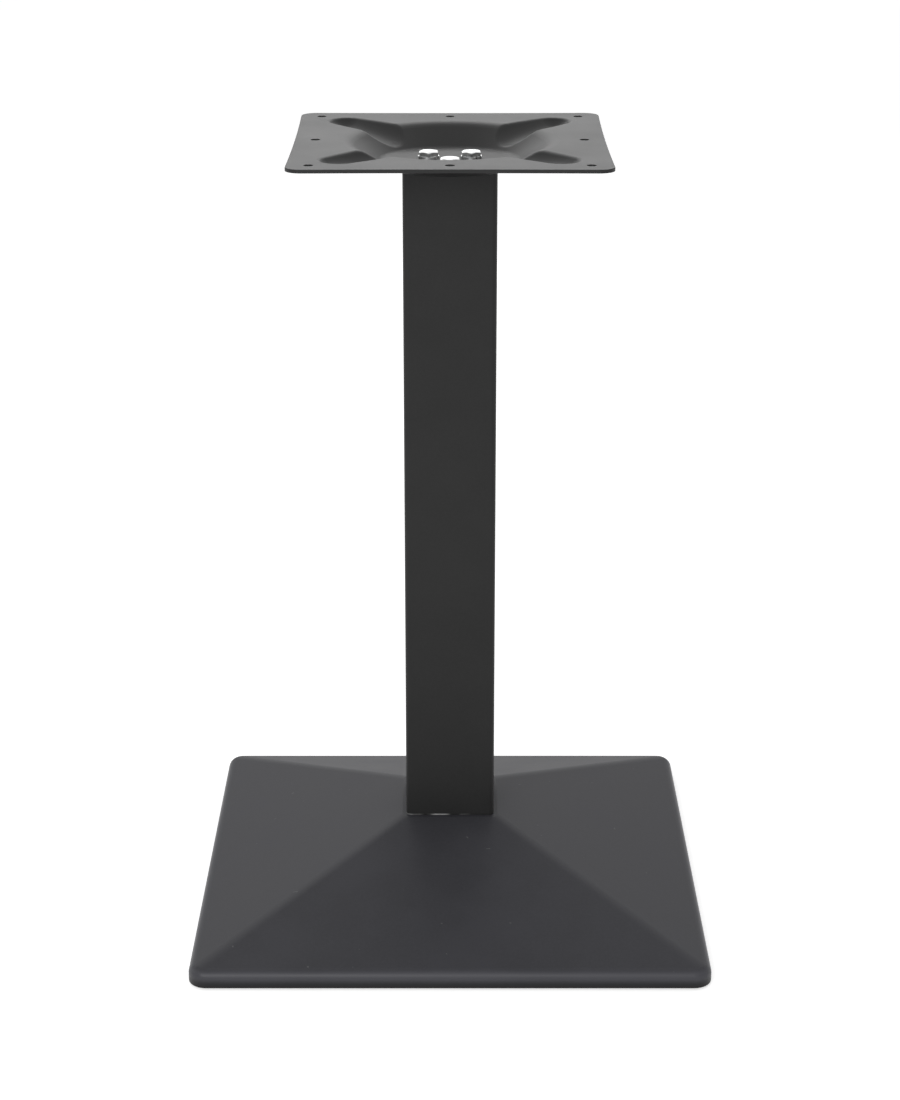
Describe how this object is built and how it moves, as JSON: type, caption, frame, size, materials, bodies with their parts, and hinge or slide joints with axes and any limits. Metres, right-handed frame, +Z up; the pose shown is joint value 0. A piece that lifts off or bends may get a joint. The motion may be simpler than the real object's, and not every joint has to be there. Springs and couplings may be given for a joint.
{
  "type": "pedestal table base",
  "caption": "Square pedestal table base: hollow cast pyramid foot on levelling feet, square tube column and a pressed, dished mounting plate with screw holes for a table top.",
  "frame": {"origin": "on the floor, under the middle of the column", "axes": "+Z up along the column, +X and +Y along the sides of the square base, -Y towards the side with the single front bolt in the dish"},
  "size_m": [0.45, 0.45, 0.69],
  "materials": {
    "cast_base": "satin black powder coat over cast iron",
    "column": "satin black powder coat on steel tube",
    "end_plate": "satin black powder coat on steel plate",
    "pressed_plate": "satin black powder coat on pressed sheet steel",
    "zinc": "bright zinc plate",
    "foot_pad": "matt black moulded nylon"
  },
  "bodies": {
    "stand": {"base_casting": "cast_base", "column_tube": "column", "column_foot_plate": "end_plate", "column_head_plate": "end_plate", "mounting_plate": "pressed_plate", "plate_bolts": "zinc", "plate_spring_washers": "zinc", "base_bolts": "zinc", "base_spring_washers": "zinc", "base_flat_washers": "zinc"},
    "foot_1": {"foot_pad_1": "foot_pad", "foot_stud_1": "zinc"},
    "foot_2": {"foot_pad_2": "foot_pad", "foot_stud_2": "zinc"},
    "foot_3": {"foot_pad_3": "foot_pad", "foot_stud_3": "zinc"},
    "foot_4": {"foot_pad_4": "foot_pad", "foot_stud_4": "zinc"}
  },
  "joints": [
    {"name": "foot_1_height", "type": "slide", "parent": "stand", "child": "foot_1", "axis": [0, 0, 1], "range_m": [-0.01, 0]},
    {"name": "foot_2_height", "type": "slide", "parent": "stand", "child": "foot_2", "axis": [0, 0, 1], "range_m": [-0.01, 0]},
    {"name": "foot_3_height", "type": "slide", "parent": "stand", "child": "foot_3", "axis": [0, 0, 1], "range_m": [-0.01, 0]},
    {"name": "foot_4_height", "type": "slide", "parent": "stand", "child": "foot_4", "axis": [0, 0, 1], "range_m": [-0.01, 0]}
  ]
}
